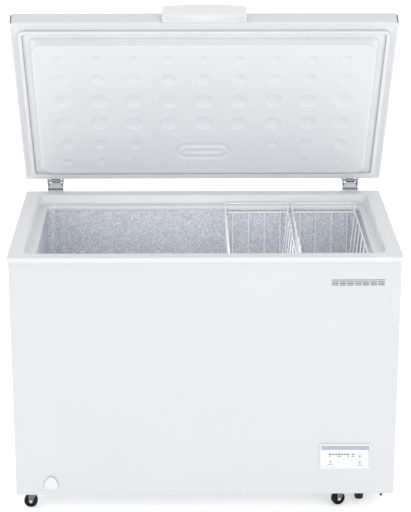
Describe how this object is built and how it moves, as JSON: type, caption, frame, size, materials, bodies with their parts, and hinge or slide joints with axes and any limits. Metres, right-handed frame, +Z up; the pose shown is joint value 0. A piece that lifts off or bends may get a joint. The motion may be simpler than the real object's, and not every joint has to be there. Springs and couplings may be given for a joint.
{
  "type": "chest freezer",
  "caption": "Chest freezer with a deep embossed cavity, hinged insulated lid with a bowed handle, hanging wire baskets, front controls, drain and swivel casters.",
  "frame": {"origin": "on the floor, under the middle of the freezer with its lid propped open", "axes": "+X right-hand end, +Y back, +Z up"},
  "size_m": [1.124, 0.7098, 1.4509],
  "materials": {
    "white_paint": "gloss",
    "white_plastic": "satin",
    "lid_plastic": "satin",
    "galvanised": "satin",
    "stucco_aluminium": "satin",
    "foam": "matte",
    "copper": "satin",
    "black_paint": "satin",
    "black_plastic": "matte",
    "black_rubber": "matte",
    "wheel_plastic": "satin",
    "zinc": "satin",
    "panel_film": "satin",
    "circuit_board": "satin",
    "lamp_lens": "gloss",
    "gasket_vinyl": "matte",
    "coated_wire": "gloss"
  },
  "bodies": {
    "cabinet": {"outer_wrapper": "white_paint", "rear_panel": "galvanised", "base_panel": "galvanised", "compressor_tray": "galvanised", "bay_shroud": "galvanised", "inner_liner": "stucco_aluminium", "cabinet_foam": "foam", "rim_frame": "white_plastic", "condenser_coil": "copper", "evaporator_coil": "copper", "compressor": "black_paint", "terminal_cover": "black_plastic", "compressor_grommets": "black_rubber", "tray_bolts": "zinc", "filter_drier": "copper", "refrigerant_lines": "copper", "side_grille": "white_plastic", "rear_cover": "galvanised", "panel_bezel": "white_plastic", "panel_fascia": "panel_film", "control_board": "circuit_board", "indicator_lamps": "lamp_lens", "drain_tube": "white_plastic", "hinge_base_left": "zinc", "hinge_base_right": "zinc", "hinge_pins": "zinc", "hinge_springs": "zinc", "hinge_base_screws": "zinc", "caster_plates": "zinc", "front_foot": "black_plastic", "cord_gland": "black_rubber"},
    "lid": {"lid_skin": "white_paint", "lid_frame": "white_plastic", "lid_foam": "foam", "lid_liner": "lid_plastic", "lid_gasket": "gasket_vinyl", "lid_handle": "white_plastic", "handle_screws": "zinc", "hinge_leaf_left": "zinc", "hinge_leaf_right": "zinc", "hinge_leaf_screws": "zinc"},
    "basket_right": {"basket_right": "coated_wire"},
    "basket_left": {"basket_left": "coated_wire"},
    "drain_spout": {"drain_spout": "white_plastic"},
    "drain_cap": {"drain_cap": "white_plastic"},
    "drain_plug": {"drain_plug": "white_plastic"},
    "set_button": {"set_button": "panel_film"},
    "boost_button": {"boost_button": "panel_film"},
    "caster_fl": {"caster_fork_fl": "zinc", "caster_axle_fl": "zinc"},
    "wheel_fl": {"caster_wheel_fl": "wheel_plastic"},
    "caster_fr": {"caster_fork_fr": "zinc", "caster_axle_fr": "zinc"},
    "wheel_fr": {"caster_wheel_fr": "wheel_plastic"},
    "caster_rl": {"caster_fork_rl": "zinc", "caster_axle_rl": "zinc"},
    "wheel_rl": {"caster_wheel_rl": "wheel_plastic"},
    "caster_rr": {"caster_fork_rr": "zinc", "caster_axle_rr": "zinc"},
    "wheel_rr": {"caster_wheel_rr": "wheel_plastic"}
  },
  "joints": [
    {"name": "lid_hinge", "type": "hinge", "parent": "cabinet", "child": "lid", "pos_m": [0, 0.3438, 0.8174], "axis": [-1, 0, 0], "range_deg": [-58.1, 22]},
    {"name": "basket_right_slide", "type": "slide", "parent": "cabinet", "child": "basket_right", "axis": [-1, 0, 0], "range_m": [0, 0.25]},
    {"name": "basket_left_slide", "type": "slide", "parent": "basket_right", "child": "basket_left", "axis": [-1, 0, 0], "range_m": [0, 0.28]},
    {"name": "drain_pull", "type": "slide", "parent": "cabinet", "child": "drain_spout", "axis": [0, -1, 0], "range_m": [0, 0.025]},
    {"name": "drain_cap_turn", "type": "hinge", "parent": "drain_spout", "child": "drain_cap", "pos_m": [-0.454, -0.352, 0.089], "axis": [0, 1, 0], "range_deg": [0, 180]},
    {"name": "drain_plug_lift", "type": "slide", "parent": "cabinet", "child": "drain_plug", "axis": [0, 0, 1], "range_m": [0, 0.06]},
    {"name": "set_press", "type": "slide", "parent": "cabinet", "child": "set_button", "axis": [0, 1, 0], "range_m": [0, 0.001], "stiffness_N_per_m": 800, "springref_m": -0.0005},
    {"name": "boost_press", "type": "slide", "parent": "cabinet", "child": "boost_button", "axis": [0, 1, 0], "range_m": [0, 0.001], "stiffness_N_per_m": 800, "springref_m": -0.0005},
    {"name": "swivel_fl", "type": "hinge", "parent": "cabinet", "child": "caster_fl", "pos_m": [-0.504, -0.318, 0.048], "axis": [0, 0, 1], "continuous": true},
    {"name": "roll_fl", "type": "hinge", "parent": "caster_fl", "child": "wheel_fl", "pos_m": [-0.518, -0.318, 0.02], "axis": [0, 1, 0], "continuous": true},
    {"name": "swivel_fr", "type": "hinge", "parent": "cabinet", "child": "caster_fr", "pos_m": [0.41, -0.306, 0.048], "axis": [0, 0, 1], "continuous": true},
    {"name": "roll_fr", "type": "hinge", "parent": "caster_fr", "child": "wheel_fr", "pos_m": [0.39684, -0.31079, 0.02], "axis": [-0.342, 0.9397, 0], "continuous": true},
    {"name": "swivel_rl", "type": "hinge", "parent": "cabinet", "child": "caster_rl", "pos_m": [-0.5, 0.268, 0.048], "axis": [0, 0, 1], "continuous": true},
    {"name": "roll_rl", "type": "hinge", "parent": "caster_rl", "child": "wheel_rl", "pos_m": [-0.51147, 0.25997, 0.02], "axis": [-0.5736, 0.8192, 0], "continuous": true},
    {"name": "swivel_rr", "type": "hinge", "parent": "cabinet", "child": "caster_rr", "pos_m": [0.5, 0.268, 0.048], "axis": [0, 0, 1], "continuous": true},
    {"name": "roll_rr", "type": "hinge", "parent": "caster_rr", "child": "wheel_rr", "pos_m": [0.51212, 0.261, 0.02], "axis": [-0.5, -0.866, 0], "continuous": true}
  ]
}
